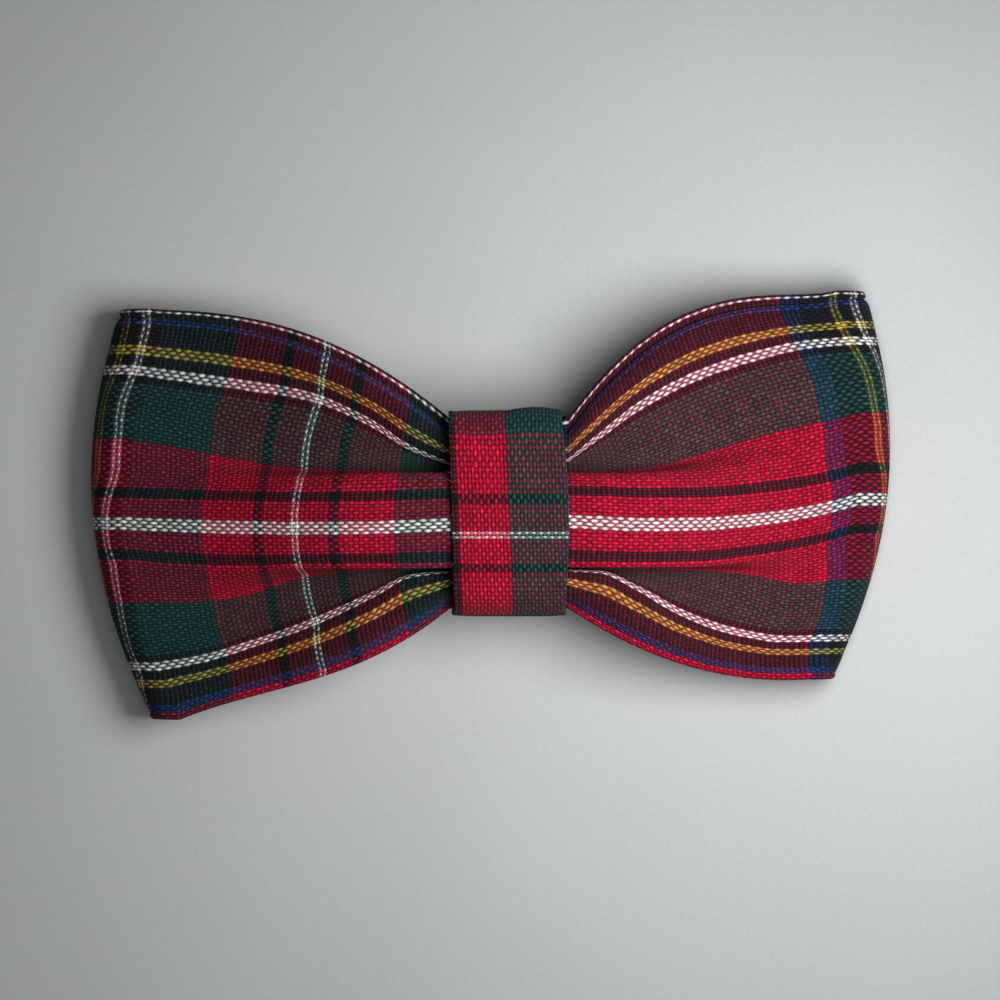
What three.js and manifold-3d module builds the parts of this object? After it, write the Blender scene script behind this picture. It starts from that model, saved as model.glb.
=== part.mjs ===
// A pre-tied bow tie that lies on its back, face up. It is a tube of tartan cotton folded into a flattened
// loop, pinched at the waist and wrapped by a centre band, with a sprung toothed clip behind the band.
// Millimetres. +X runs along the bow to the wearer's left wing, +Y to its top edge, +Z out of its face.
import * as THREE from 'three';
import { mergeVertices } from 'three/addons/utils/BufferGeometryUtils.js';
import Module from 'manifold-3d';

const wasm = await Module();
wasm.setup();

// ---------------------------------------------------------------- driving dimensions

const CLEARANCE = 0.3;

// The two wings. Corners are measured from the middle of the band. The end bulges past the line between its
// corners. An edge climbs from the waist to its corner with a swell, which dies away at the rate of its ease.
const WINGS = {
  left: {
    side: -1,
    top: { x: 58.4, y: 30.6, swell: 1.3, ease: 1.15 },
    bottom: { x: 53.6, y: 30.9, swell: 1.0, ease: 1.9 },
    bulge: 6.8,
  },
  right: {
    side: 1,
    top: { x: 53.6, y: 33.3, swell: 1.9, ease: 1.375 },
    bottom: { x: 48.7, y: 24.9, swell: 1.2, ease: 1.0 },
    bulge: 6.2,
  },
};
const END_FOLD_RADIUS = 4.0;
const FRONT_PUFF = 2.2;
const PUFF_END = 0.8;
// Shares of a panel over which the front and the back come down to the table and the pleats die away.
const FRONT_FALL = [0.1, 1];
const BACK_FALL = [0.3, 0.92];
const PLEAT_FADE = [0.15, 0.8];

// Cloth
const CLOTH = 0.4;
const INTERFACING = 0.3;
const PLEAT_DEPTH = 1.8;
const PLEAT_CENTRE = -0.065;
const PLEAT_VALLEY = 0.5;
const TUBE_END_GAP = 0.6;
const SLOT_INSET = 0.3;
const SEAM_INSET = 0.4;
const INTERFACING_END_GAP = 1.5;

// Threads
const SEAM_THREAD = 0.3;
const WAIST_THREAD = 0.5;
const WAIST_TURNS = 3;
const WAIST_PITCH = 0.8;
const STITCH_THREAD = 0.4;
const STITCH_COUNT = 14;
const STITCH_REACH = 1.0;
const STITCH_MARGIN = 1.0;
const TACK_THREAD = 0.5;
const TACK_BEND = 0.4;
const TACK_TAIL = 2.0;

// Centre band
const BAND_WIDTH = 17.0;
const BAND_HEIGHT = 30.6;
const BAND_CLOTH = 0.8;
const BAND_LINING = 0.4;
const BAND_CORNER = 3.4;
const BAND_END_GAP = 0.8;
const LINING_MARGIN = 0.75;

// Clip. Its nose and its ears are placed from the band's edges, and its two tails from the pivot.
const REST_GAP = 0.5;
const CLIP_DEPTH = 8.1;
const CLIP_WIDTH = 9.0;
const CLIP_PLATE = 0.8;
const PLATE_CORNER = 1.6;
const NOSE_REACH = 10.5;
const BASE_TAIL = 7.0;
const PIVOT_DROP = 3.2;
const PIN_DIAMETER = 1.4;
const PIN_HEAD_LAP = 0.2;
const PIN_HEAD = 0.5;
const EAR_THICKNESS = 0.7;
const EAR_WALL = 0.9;
const EAR_ROOT = 5.2;
const EAR_GAP = 0.9;
const NOSE_RUN = 3.5;
const NOSE_FACE = 1.2;
const TAIL_BEND = 2.4;
const TAIL_REACH = 8.5;
const TAIL_LIP = 2.0;
const TAIL_LIP_RISE = 0.3;
const TEETH = 5;
const TOOTH_HEIGHT = 1.1;
const TACK_HOLE_ROOM = 0.4;
const TACK_EAR_GAP = 0.55;
const SPRING_WIRE = 0.6;
const SPRING_TURNS = 3.5;
const SPRING_PITCH = 0.9;
const SPRING_LEG = 4.4;
const SPRING_ROOM = 0.4;

// Fineness of the faceted surfaces
const MOUTH_STEP = 0.16;
const WING_STEPS = [0, 0.08, MOUTH_STEP, 0.24, 0.34, 0.46, 0.6, 0.74, 0.88, 1];
const FOLD_STEPS = 4;
const CLOTH_COLUMNS = 12;
const THREAD_SIDES = 6;
const ROUND_SIDES = 16;
const CURVE_STEPS = 5;
const SPRING_SIDES = 12;

// ---------------------------------------------------------------- derived levels, from the table upwards

const tube = 2 * CLOTH + INTERFACING + 2 * CLEARANCE;
const slot = INTERFACING + 2 * CLEARANCE;
const bandWall = BAND_CLOTH + CLEARANCE + BAND_LINING;
const bandHalf = BAND_WIDTH / 2;
const mouthX = bandHalf + CLEARANCE;

const baseLow = REST_GAP + CLIP_DEPTH;
const baseHigh = baseLow + CLIP_PLATE;
const threadRoom = WAIST_THREAD + 2 * CLEARANCE;
const mouthHalf = BAND_HEIGHT / 2 - bandWall - CLEARANCE - tube / 2;
const pinchHalf = mouthHalf - WAIST_THREAD - CLEARANCE;
const waistLow = baseHigh + CLEARANCE + TACK_THREAD + threadRoom;
const pleatSlope = (PLEAT_DEPTH * Math.PI) / (PLEAT_VALLEY * pinchHalf);
const backWaist = waistLow + tube / 2 + PLEAT_DEPTH;
const frontWaist = backWaist + (tube + CLEARANCE) * Math.hypot(1, pleatSlope);
const waistHigh = frontWaist + PLEAT_DEPTH + tube / 2;
const bandInnerHigh = waistHigh + threadRoom;
const bandInnerLow = baseLow - CLEARANCE;
const bandOuterLow = bandInnerLow - bandWall;
const pivot = { x: bandHalf + EAR_GAP + EAR_ROOT / 2, z: baseLow - PIVOT_DROP };

// ---------------------------------------------------------------- materials

function finish(color, roughness, metalness = 0) {
  return new THREE.MeshStandardMaterial({ color, roughness, metalness });
}

const tartan = finish(0x8a1c30, 0.9);
const bandTartan = finish(0xa01c34, 0.9);
const white = finish(0xe4e2da, 0.95);
const redThread = finish(0x8c1a2c, 0.8);
const nickel = finish(0xb9bbbd, 0.32, 1);
const springSteel = finish(0x8f9296, 0.38, 1);

// ---------------------------------------------------------------- tools for making shapes

const { lerp, smoothstep } = THREE.MathUtils;
const quarter = Math.PI / 2;

/** A closed surface built from rings of points, each joined to the next. */
class Skin {
  constructor() {
    this.points = [];
    this.faces = [];
  }

  ring(points) {
    const first = this.points.length;
    this.points.push(...points);
    return points.map((point, index) => first + index);
  }

  join(one, other) {
    one.forEach((corner, index) => {
      const next = (index + 1) % one.length;
      this.faces.push(corner, one[next], other[next], corner, other[next], other[index]);
    });
  }

  /** Joins two rings with the faces turned inwards, for the wall of a hollow. */
  line(one, other) {
    one.forEach((corner, index) => {
      const next = (index + 1) % one.length;
      this.faces.push(other[next], one[next], corner, other[index], other[next], corner);
    });
  }

  geometry() {
    const geometry = new THREE.BufferGeometry().setFromPoints(this.points);
    geometry.setIndex(this.faces);
    geometry.computeVertexNormals();
    return geometry;
  }
}

function toSolid(geometry) {
  const bare = geometry.clone();
  bare.deleteAttribute('normal');
  bare.deleteAttribute('uv');
  const merged = mergeVertices(bare);
  const mesh = new wasm.Mesh({
    numProp: 3,
    vertProperties: merged.getAttribute('position').array,
    triVerts: new Uint32Array(merged.getIndex().array),
  });
  return new wasm.Manifold(mesh);
}

function fromSolid(solid) {
  const mesh = solid.getMesh();
  const geometry = new THREE.BufferGeometry();
  geometry.setAttribute('position', new THREE.BufferAttribute(mesh.vertProperties, 3));
  geometry.setIndex(new THREE.BufferAttribute(mesh.triVerts, 1));
  geometry.computeVertexNormals();
  return geometry;
}

function joined(geometries) {
  return geometries.map(toSolid).reduce((whole, solid) => whole.add(solid));
}

/** A side view, drawn in X and Z, made solid from one Y to another. */
function sideExtrusion(shape, fromY, toY) {
  const geometry = new THREE.ExtrudeGeometry(shape, {
    depth: toY - fromY,
    bevelEnabled: false,
    curveSegments: CURVE_STEPS,
  });
  geometry.rotateX(quarter);
  geometry.translate(0, toY, 0);
  return geometry;
}

/** A path that is sampled exactly at its own points. */
class ThreadPath extends THREE.Curve {
  constructor(points) {
    super();
    this.points = points;
  }

  getPoint(share, target = new THREE.Vector3()) {
    const place = share * (this.points.length - 1);
    const index = Math.min(Math.floor(place), this.points.length - 2);
    return target.lerpVectors(this.points[index], this.points[index + 1], place - index);
  }

  getPointAt(share, target) {
    return this.getPoint(share, target);
  }

  getTangentAt(share, target = new THREE.Vector3()) {
    const half = 0.5 / (this.points.length - 1);
    const ahead = this.getPoint(Math.min(1, share + half));
    return target.copy(ahead).sub(this.getPoint(Math.max(0, share - half))).normalize();
  }
}

function threadGeometry(points, diameter) {
  const corners = Array.from({ length: THREAD_SIDES }, (unused, index) => {
    const angle = (2 * Math.PI * index) / THREAD_SIDES;
    return new THREE.Vector2(Math.cos(angle), Math.sin(angle)).multiplyScalar(diameter / 2);
  });
  return new THREE.ExtrudeGeometry(new THREE.Shape(corners), {
    steps: points.length - 1,
    extrudePath: new ThreadPath(points),
    bevelEnabled: false,
  });
}

/** The corners of a box round the waist, in Y and Z, with rounded corners of three points each. */
function waistLoop(halfHeight, low, high, radius) {
  const corners = [
    { y: -1, z: low + radius, from: -0.5 },
    { y: -1, z: high - radius, from: -1 },
    { y: 1, z: high - radius, from: -1.5 },
    { y: 1, z: low + radius, from: -2 },
  ];
  return corners.flatMap(({ y, z, from }) => [0, 1, 2].map((step) => {
    const angle = (from - step / 4) * Math.PI;
    const arc = new THREE.Vector2(Math.cos(angle), Math.sin(angle)).multiplyScalar(radius);
    return arc.add(new THREE.Vector2(y * (halfHeight - radius), z));
  }));
}

// ---------------------------------------------------------------- the loop of cloth

const endX = (wing, v) => lerp(wing.bottom.x, wing.top.x, (v + 1) / 2) + wing.bulge * (1 - v * v);

const foldCentreX = (wing, v) => endX(wing, v) - END_FOLD_RADIUS - tube / 2;

// A place on a panel is a share t: 0 in the middle of the band, MOUTH_STEP at its mouth, 1 at the end fold.
const inBand = (t) => Math.min(1, t / MOUTH_STEP);
const pastMouth = (t) => Math.max(0, (t - MOUTH_STEP) / (1 - MOUTH_STEP));

function panelX(wing, v, t) {
  return lerp(inBand(t) * mouthX, foldCentreX(wing, v), pastMouth(t));
}

/** Height of the tube's edge at a share t of a panel. */
function edgeHeight(edge, t) {
  const out = pastMouth(t);
  const climb = out + edge.swell * out * (1 - out) ** edge.ease;
  const waist = lerp(pinchHalf, mouthHalf, inBand(t) ** 2);
  return waist + (edge.y - tube / 2 - mouthHalf) * climb;
}

const pleatAt = (t, v) => {
  const depth = PLEAT_DEPTH * (1 - smoothstep(t, ...PLEAT_FADE));
  return depth * Math.cos((Math.PI * (v - PLEAT_CENTRE)) / PLEAT_VALLEY);
};

function panelHeight(isFront, t, v) {
  if (!isFront) {
    return lerp(backWaist, tube / 2, smoothstep(t, ...BACK_FALL)) + pleatAt(t, v);
  }
  const puff = FRONT_PUFF * Math.sin((Math.PI * Math.min(t, PUFF_END)) / PUFF_END) ** 2;
  const foldTop = tube / 2 + 2 * END_FOLD_RADIUS;
  return lerp(frontWaist, foldTop, smoothstep(t, ...FRONT_FALL)) + puff + pleatAt(t, v);
}

/** Middle of the tube's wall. Place runs 0 to 6: back, fold and front of the right wing, then of the left. */
function loopPoint(place, v) {
  const stage = Math.min(5, Math.floor(place));
  const along = place - stage;
  const wing = stage < 3 ? WINGS.right : WINGS.left;
  const onFold = stage === 1 || stage === 4;
  const isFront = stage === 2 || stage === 3;
  const outward = stage === 0 || stage === 3;
  const panelT = outward ? along : 1 - along;
  const t = onFold ? 1 : panelT;
  const y = lerp(-edgeHeight(wing.bottom, t), edgeHeight(wing.top, t), (v + 1) / 2);
  if (!onFold) {
    return new THREE.Vector3(wing.side * panelX(wing, v, t), y, panelHeight(isFront, t, v));
  }
  const angle = Math.PI * (stage === 1 ? along - 0.5 : 0.5 - along);
  const x = wing.side * (foldCentreX(wing, v) + END_FOLD_RADIUS * Math.cos(angle));
  return new THREE.Vector3(x, y, tube / 2 + END_FOLD_RADIUS * (1 + Math.sin(angle)));
}

const NUDGE = 0.002;

/** Point, outward normal and edgewise direction of the tube's middle surface. */
function loopFrame(place, v) {
  const point = loopPoint(place, v);
  const along = loopPoint(place + NUDGE, v).sub(loopPoint(place - NUDGE, v));
  const across = loopPoint(place, v + NUDGE).sub(loopPoint(place, v - NUDGE)).normalize();
  const normal = new THREE.Vector3().crossVectors(across, along).normalize();
  return { point, normal, across };
}

/** The value of v that lies a distance inside the tube's top or bottom edge. */
function insetEdge(place, edge, inset) {
  const span = loopPoint(place, edge).distanceTo(loopPoint(place, edge * (1 - NUDGE))) / NUDGE;
  return edge * (1 - inset / span);
}

/** One flattened ring of the tube: out along its face, round the top edge, back, and round the bottom. */
function tubeRing(place, half, inset) {
  const low = insetEdge(place, -1, inset);
  const high = insetEdge(place, 1, inset);
  const frames = Array.from({ length: CLOTH_COLUMNS + 1 }, (unused, column) => {
    const v = (2 * column) / CLOTH_COLUMNS - 1;
    return loopFrame(place, Math.min(high, Math.max(low, v)));
  });
  const face = frames.map(({ point, normal }) => point.clone().addScaledVector(normal, half));
  const reverse = frames.map(({ point, normal }) => point.clone().addScaledVector(normal, -half)).reverse();
  const top = frames[CLOTH_COLUMNS];
  const bottom = frames[0];
  return [
    ...face,
    top.point.clone().addScaledVector(top.across, half),
    ...reverse,
    bottom.point.clone().addScaledVector(bottom.across, -half),
  ];
}

/** Places along the loop, from one end of the tube to the other, that far short of the middle of the back. */
function loopPlaces(endGap) {
  const start = (MOUTH_STEP * endGap) / mouthX;
  const fold = Array.from({ length: FOLD_STEPS - 1 }, (unused, index) => (index + 1) / FOLD_STEPS);
  const outwards = WING_STEPS.slice(1);
  const inwards = WING_STEPS.map((step) => 1 - step).reverse();
  return [
    start,
    ...outwards,
    ...fold.map((share) => 1 + share),
    ...inwards.map((share) => 2 + share),
    ...outwards.map((share) => 3 + share),
    ...fold.map((share) => 4 + share),
    ...inwards.slice(0, -1).map((share) => 5 + share),
    6 - start,
  ];
}

function bowClothGeometry() {
  const skin = new Skin();
  const places = loopPlaces(TUBE_END_GAP / 2);
  const outer = places.map((place) => skin.ring(tubeRing(place, tube / 2, 0)));
  const inner = places.map((place) => skin.ring(tubeRing(place, slot / 2, SLOT_INSET)));
  outer.slice(1).forEach((ring, index) => skin.join(outer[index], ring));
  inner.slice(1).forEach((ring, index) => skin.line(inner[index], ring));
  skin.join(inner[0], outer[0]);
  skin.join(outer[outer.length - 1], inner[inner.length - 1]);
  return skin.geometry();
}

const interfacingInset = SEAM_INSET + SEAM_THREAD / 2 + CLEARANCE + INTERFACING / 2;

function bowInterfacingGeometry() {
  const skin = new Skin();
  const rings = loopPlaces(INTERFACING_END_GAP)
    .map((place) => skin.ring(tubeRing(place, INTERFACING / 2, interfacingInset)));
  rings.slice(1).forEach((ring, index) => skin.join(rings[index], ring));
  const cap = (ring, faces) => {
    const back = (column) => ring[2 * CLOTH_COLUMNS + 2 - column];
    for (let column = 0; column < CLOTH_COLUMNS; column += 1) {
      faces.push([ring[column + 1], ring[column], back(column)]);
      faces.push([ring[column + 1], back(column), back(column + 1)]);
    }
    faces.push([ring[CLOTH_COLUMNS + 1], ring[CLOTH_COLUMNS], back(CLOTH_COLUMNS)]);
    faces.push([ring[0], ring[2 * CLOTH_COLUMNS + 3], back(0)]);
    return faces;
  };
  cap(rings[0], []).forEach((face) => skin.faces.push(...face));
  cap(rings[rings.length - 1], []).forEach((face) => skin.faces.push(...face.reverse()));
  return skin.geometry();
}

function tubeSeamPoints() {
  return loopPlaces(INTERFACING_END_GAP).map((place) => loopPoint(place, insetEdge(place, 1, SEAM_INSET)));
}

function waistThreadPoints() {
  const room = CLEARANCE + WAIST_THREAD / 2;
  const loop = waistLoop(
    pinchHalf + tube / 2 + room,
    waistLow - room,
    waistHigh + room,
    tube / 2 + room,
  );
  const count = WAIST_TURNS * loop.length;
  return Array.from({ length: count + 1 }, (unused, index) => {
    const x = WAIST_PITCH * WAIST_TURNS * (index / count - 0.5);
    const { x: y, y: z } = loop[index % loop.length];
    return new THREE.Vector3(x, y, z);
  });
}

// ---------------------------------------------------------------- the centre band

/** One side of a bent strip, in Y and Z: from the back gap's lower end round the front to its upper end. */
function bandTrace(inset) {
  const radius = BAND_CORNER - inset;
  const low = bandOuterLow + BAND_CORNER;
  const high = bandInnerHigh + bandWall - BAND_CORNER;
  const half = BAND_HEIGHT / 2 - BAND_CORNER;
  const trace = new THREE.Path();
  trace.moveTo(-BAND_END_GAP / 2, low - radius);
  trace.absarc(-half, low, radius, -quarter, -2 * quarter, true);
  trace.absarc(-half, high, radius, 2 * quarter, quarter, true);
  trace.absarc(half, high, radius, quarter, 0, true);
  trace.absarc(half, low, radius, 0, -quarter, true);
  trace.lineTo(BAND_END_GAP / 2, low - radius);
  return trace.getPoints(CURVE_STEPS);
}

/** A strip bent round the waist, open by a gap at the middle of the back. */
function bandStripGeometry(inset, thickness, width) {
  const outline = [...bandTrace(inset), ...bandTrace(inset + thickness).reverse()];
  const geometry = new THREE.ExtrudeGeometry(new THREE.Shape(outline), { depth: width, bevelEnabled: false });
  geometry.rotateX(quarter);
  geometry.rotateZ(quarter);
  geometry.translate(-width / 2, 0, 0);
  return geometry;
}

function bandClosingPoints() {
  const z = bandOuterLow - CLEARANCE - STITCH_THREAD / 2;
  const length = BAND_WIDTH - 2 * STITCH_MARGIN;
  return Array.from({ length: STITCH_COUNT + 1 }, (unused, index) => {
    const side = index % 2 === 0 ? -1 : 1;
    return new THREE.Vector3(length * (index / STITCH_COUNT - 0.5), side * STITCH_REACH, z);
  });
}

// ---------------------------------------------------------------- the clip

const clipHalf = CLIP_WIDTH / 2;
const earInner = clipHalf - EAR_THICKNESS;
const jawHalf = earInner - CLEARANCE;
const earHole = PIN_DIAMETER / 2 + CLEARANCE;
const earRadius = earHole + EAR_WALL;
const pinHeadRadius = earHole + PIN_HEAD_LAP;

const noseX = -(bandHalf + NOSE_REACH);
const baseEndX = pivot.x + BASE_TAIL;
const tailStartX = pivot.x + TAIL_BEND;
const tailEndX = pivot.x + TAIL_REACH;

const springRadius = PIN_DIAMETER / 2 + CLEARANCE + SPRING_WIRE / 2;
const jawInner = pivot.z - springRadius - SPRING_WIRE / 2 - SPRING_ROOM;

const tackHole = TACK_THREAD / 2 + TACK_HOLE_ROOM;
const tackX = bandHalf + CLEARANCE + TACK_THREAD + CLEARANCE + TACK_HOLE_ROOM;
const tackY = earInner - TACK_EAR_GAP - tackHole;

function circlePath(x, y, radius) {
  const path = new THREE.Path();
  path.absarc(x, y, radius, 0, 2 * Math.PI);
  return path;
}

/** A round bar through the pivot, as long as the clip is wide. */
function pivotBar(radius) {
  const bar = new THREE.CylinderGeometry(radius, radius, CLIP_WIDTH + 2 * CLEARANCE, ROUND_SIDES);
  bar.translate(pivot.x, 0, pivot.z);
  return toSolid(bar);
}

/** A lug that hangs from a root line to a round end about the pivot. */
function lugShape(rootZ) {
  const shape = new THREE.Shape();
  const below = rootZ > pivot.z;
  const rootHalf = below ? EAR_ROOT / 2 : earRadius;
  shape.moveTo(pivot.x - rootHalf, rootZ);
  if (below) {
    shape.absarc(pivot.x, pivot.z, earRadius, Math.PI, 2 * Math.PI, false);
  } else {
    shape.absarc(pivot.x, pivot.z, earRadius, Math.PI, 0, true);
  }
  shape.lineTo(pivot.x + rootHalf, rootZ);
  return shape;
}

function clipBaseGeometry() {
  const plate = new THREE.Shape();
  const tailCorner = baseEndX - PLATE_CORNER;
  const noseCorner = noseX + PLATE_CORNER;
  const sideCorner = clipHalf - PLATE_CORNER;
  plate.absarc(tailCorner, -sideCorner, PLATE_CORNER, -quarter, 0, false);
  plate.absarc(tailCorner, sideCorner, PLATE_CORNER, 0, quarter, false);
  plate.absarc(noseCorner, sideCorner, PLATE_CORNER, quarter, 2 * quarter, false);
  plate.absarc(noseCorner, -sideCorner, PLATE_CORNER, 2 * quarter, 3 * quarter, false);
  for (const x of [-tackX, tackX]) {
    for (const y of [-tackY, tackY]) {
      plate.holes.push(circlePath(x, y, tackHole));
    }
  }
  const sheet = new THREE.ExtrudeGeometry(plate, {
    depth: CLIP_PLATE,
    bevelEnabled: false,
    curveSegments: CURVE_STEPS,
  });
  sheet.translate(0, 0, baseLow);
  const lug = lugShape(baseLow + CLIP_PLATE / 2);
  const ears = [[-clipHalf, -earInner], [earInner, clipHalf]]
    .map(([from, to]) => sideExtrusion(lug, from, to));
  return fromSolid(joined([sheet, ...ears]).subtract(pivotBar(earHole)));
}

/** The side view of a bent plate that follows a line of points, with its thickness below the line. */
function plateShape(line, thickness) {
  const under = line.map((point, index) => {
    const before = line[Math.max(0, index - 1)];
    const after = line[Math.min(line.length - 1, index + 1)];
    const away = new THREE.Vector2().subVectors(after, before).normalize();
    return new THREE.Vector2(point.x + away.y * thickness, point.y - away.x * thickness);
  });
  return new THREE.Shape([...line, ...under.reverse()].reverse());
}

function clipJawGeometry() {
  const toothTop = baseLow - CLEARANCE;
  const noseTop = toothTop - TOOTH_HEIGHT;
  const shoulder = pivot.x - EAR_ROOT / 2 - CLEARANCE - CLIP_PLATE;
  const tailTop = REST_GAP + CLIP_PLATE;
  const flatStart = noseX + NOSE_RUN;
  const noseLine = [
    new THREE.Vector2(noseX + CLIP_PLATE, noseTop),
    new THREE.Vector2(noseX + CLIP_PLATE, noseTop - NOSE_FACE),
    new THREE.Vector2(flatStart, jawInner),
    new THREE.Vector2(shoulder, jawInner),
  ];
  const tailLine = [
    new THREE.Vector2(shoulder - CLIP_PLATE, jawInner),
    new THREE.Vector2(tailStartX, jawInner),
    new THREE.Vector2(tailEndX - TAIL_LIP, tailTop + TAIL_LIP_RISE),
    new THREE.Vector2(tailEndX, tailTop),
  ];
  const nose = sideExtrusion(plateShape(noseLine, CLIP_PLATE), -clipHalf, clipHalf);
  const tail = sideExtrusion(plateShape(tailLine, CLIP_PLATE), -jawHalf, jawHalf);
  const lug = lugShape(jawInner - CLIP_PLATE / 2);
  const lugs = [[-jawHalf, EAR_THICKNESS - jawHalf], [jawHalf - EAR_THICKNESS, jawHalf]]
    .map(([from, to]) => sideExtrusion(lug, from, to));
  const pitch = CLIP_WIDTH / TEETH;
  const comb = new THREE.Shape();
  comb.moveTo(-clipHalf, noseTop - CLIP_PLATE);
  comb.lineTo(clipHalf, noseTop - CLIP_PLATE);
  comb.lineTo(clipHalf, noseTop);
  for (let tooth = 0; tooth < TEETH; tooth += 1) {
    comb.lineTo(clipHalf - (tooth + 0.5) * pitch, toothTop);
    comb.lineTo(clipHalf - (tooth + 1) * pitch, noseTop);
  }
  const teeth = new THREE.ExtrudeGeometry(comb, { depth: CLIP_PLATE, bevelEnabled: false });
  teeth.rotateX(quarter);
  teeth.rotateZ(quarter);
  teeth.translate(noseX, 0, 0);
  return fromSolid(joined([nose, tail, ...lugs, teeth]).subtract(pivotBar(earHole)));
}

function clipPinGeometry() {
  const headStart = clipHalf + CLEARANCE;
  const headEnd = headStart + PIN_HEAD;
  const profile = [
    [0, -headEnd],
    [pinHeadRadius, -headEnd],
    [pinHeadRadius, -headStart],
    [PIN_DIAMETER / 2, -headStart],
    [PIN_DIAMETER / 2, headStart],
    [pinHeadRadius, headStart],
    [pinHeadRadius, headEnd],
    [0, headEnd],
  ].map(([radius, y]) => new THREE.Vector2(radius, y));
  const geometry = new THREE.LatheGeometry(profile, ROUND_SIDES);
  geometry.translate(pivot.x, 0, pivot.z);
  return fromSolid(toSolid(geometry));
}

function clipSpringPoints() {
  const half = (SPRING_TURNS * SPRING_PITCH) / 2;
  const steps = SPRING_TURNS * SPRING_SIDES;
  const coil = Array.from({ length: steps + 1 }, (unused, index) => {
    const angle = Math.PI / 2 + (2 * Math.PI * index) / SPRING_SIDES;
    return new THREE.Vector3(
      pivot.x + springRadius * Math.cos(angle),
      -half + (2 * half * index) / steps,
      pivot.z + springRadius * Math.sin(angle),
    );
  });
  const baseLeg = new THREE.Vector3(pivot.x + SPRING_LEG, -half, baseLow - CLEARANCE - SPRING_WIRE / 2);
  const jawLeg = new THREE.Vector3(tailStartX, half, jawInner + CLEARANCE + SPRING_WIRE / 2);
  return [baseLeg, ...coil, jawLeg];
}

/** A stitch through two holes of the clip's plate that ties it down to the band's back strip. */
function tackPoints(y) {
  const room = CLEARANCE + TACK_THREAD / 2;
  const low = bandOuterLow - room;
  const high = baseHigh + room;
  return [
    [tackX - TACK_TAIL, low],
    [-tackX + TACK_BEND, low],
    [-tackX, low + TACK_BEND],
    [-tackX, high - TACK_BEND],
    [-tackX + TACK_BEND, high],
    [tackX - TACK_BEND, high],
    [tackX, high - TACK_BEND],
    [tackX, low + TACK_BEND],
  ].map(([x, z]) => new THREE.Vector3(x, y, z));
}

// ---------------------------------------------------------------- the assembly

const bow = new THREE.Group();
const liningWidth = BAND_WIDTH - 2 * LINING_MARGIN;

function addPiece(name, geometry, material) {
  const mesh = new THREE.Mesh(geometry, material);
  mesh.name = name;
  bow.add(mesh);
}

addPiece('bow_cloth', bowClothGeometry(), tartan);
addPiece('bow_interfacing', bowInterfacingGeometry(), white);
addPiece('tube_seam_thread', threadGeometry(tubeSeamPoints(), SEAM_THREAD), redThread);
addPiece('waist_thread', threadGeometry(waistThreadPoints(), WAIST_THREAD), redThread);
addPiece('center_band', bandStripGeometry(0, BAND_CLOTH, BAND_WIDTH), bandTartan);
addPiece('band_interfacing', bandStripGeometry(BAND_CLOTH + CLEARANCE, BAND_LINING, liningWidth), white);
addPiece('band_closing_thread', threadGeometry(bandClosingPoints(), STITCH_THREAD), redThread);
addPiece('clip_base', clipBaseGeometry(), nickel);
addPiece('clip_jaw', clipJawGeometry(), nickel);
addPiece('clip_pin', clipPinGeometry(), nickel);
addPiece('clip_spring', threadGeometry(clipSpringPoints(), SPRING_WIRE), springSteel);
addPiece('clip_tack_thread_upper', threadGeometry(tackPoints(tackY), TACK_THREAD), redThread);
addPiece('clip_tack_thread_lower', threadGeometry(tackPoints(-tackY), TACK_THREAD), redThread);

// The origin is the middle of the footprint, on the surface the bow tie lies on.
const footprint = new THREE.Box3().setFromObject(bow);
const centre = footprint.getCenter(new THREE.Vector3());
bow.position.set(-centre.x, -centre.y, -footprint.min.z);
bow.updateMatrixWorld(true);

export default bow;
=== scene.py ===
import math

import bpy
import numpy as np
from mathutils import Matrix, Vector


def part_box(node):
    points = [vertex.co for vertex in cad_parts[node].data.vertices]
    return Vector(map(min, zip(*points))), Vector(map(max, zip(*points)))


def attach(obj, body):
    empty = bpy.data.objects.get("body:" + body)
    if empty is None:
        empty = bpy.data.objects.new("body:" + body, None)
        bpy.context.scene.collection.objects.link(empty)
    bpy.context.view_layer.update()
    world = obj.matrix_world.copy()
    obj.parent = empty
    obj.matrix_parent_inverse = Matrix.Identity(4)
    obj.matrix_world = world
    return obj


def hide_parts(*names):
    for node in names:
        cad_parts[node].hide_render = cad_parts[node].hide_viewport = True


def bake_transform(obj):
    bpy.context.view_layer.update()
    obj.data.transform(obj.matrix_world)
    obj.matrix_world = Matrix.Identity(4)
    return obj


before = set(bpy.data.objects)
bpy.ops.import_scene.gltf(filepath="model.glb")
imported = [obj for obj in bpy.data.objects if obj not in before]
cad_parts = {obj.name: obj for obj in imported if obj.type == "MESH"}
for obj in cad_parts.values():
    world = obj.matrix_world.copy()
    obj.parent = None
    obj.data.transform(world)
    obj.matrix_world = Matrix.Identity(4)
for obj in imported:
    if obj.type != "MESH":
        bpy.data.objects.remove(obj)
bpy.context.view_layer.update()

# A pre-tied bow tie of tartan cotton, lying face up: a tube of cloth folded into a flattened loop, pinched
# into pleats by a centre band, with a sprung toothed clip sewn on behind. Shapes are worked out in
# millimetres from the middle of the band, and set down in the frame in metres.

MM = 0.001

# ---------------------------------------------------------------- places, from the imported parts

band_low, band_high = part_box("center_band")
MIDDLE = Vector(((band_low.x + band_high.x) / 2, (band_low.y + band_high.y) / 2, 0))
BAND_HALF_WIDTH = (band_high.x - band_low.x) / 2 / MM
BAND_HALF_HEIGHT = (band_high.y - band_low.y) / 2 / MM
BAND_BACK = band_low.z / MM
BAND_FRONT = band_high.z / MM

# ---------------------------------------------------------------- the cloth's own measures

# From one thread to the next: the warp runs along the bow's length, and the weft runs up it.
WARP_PITCH = 0.513
WEFT_PITCH = 0.754
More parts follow.
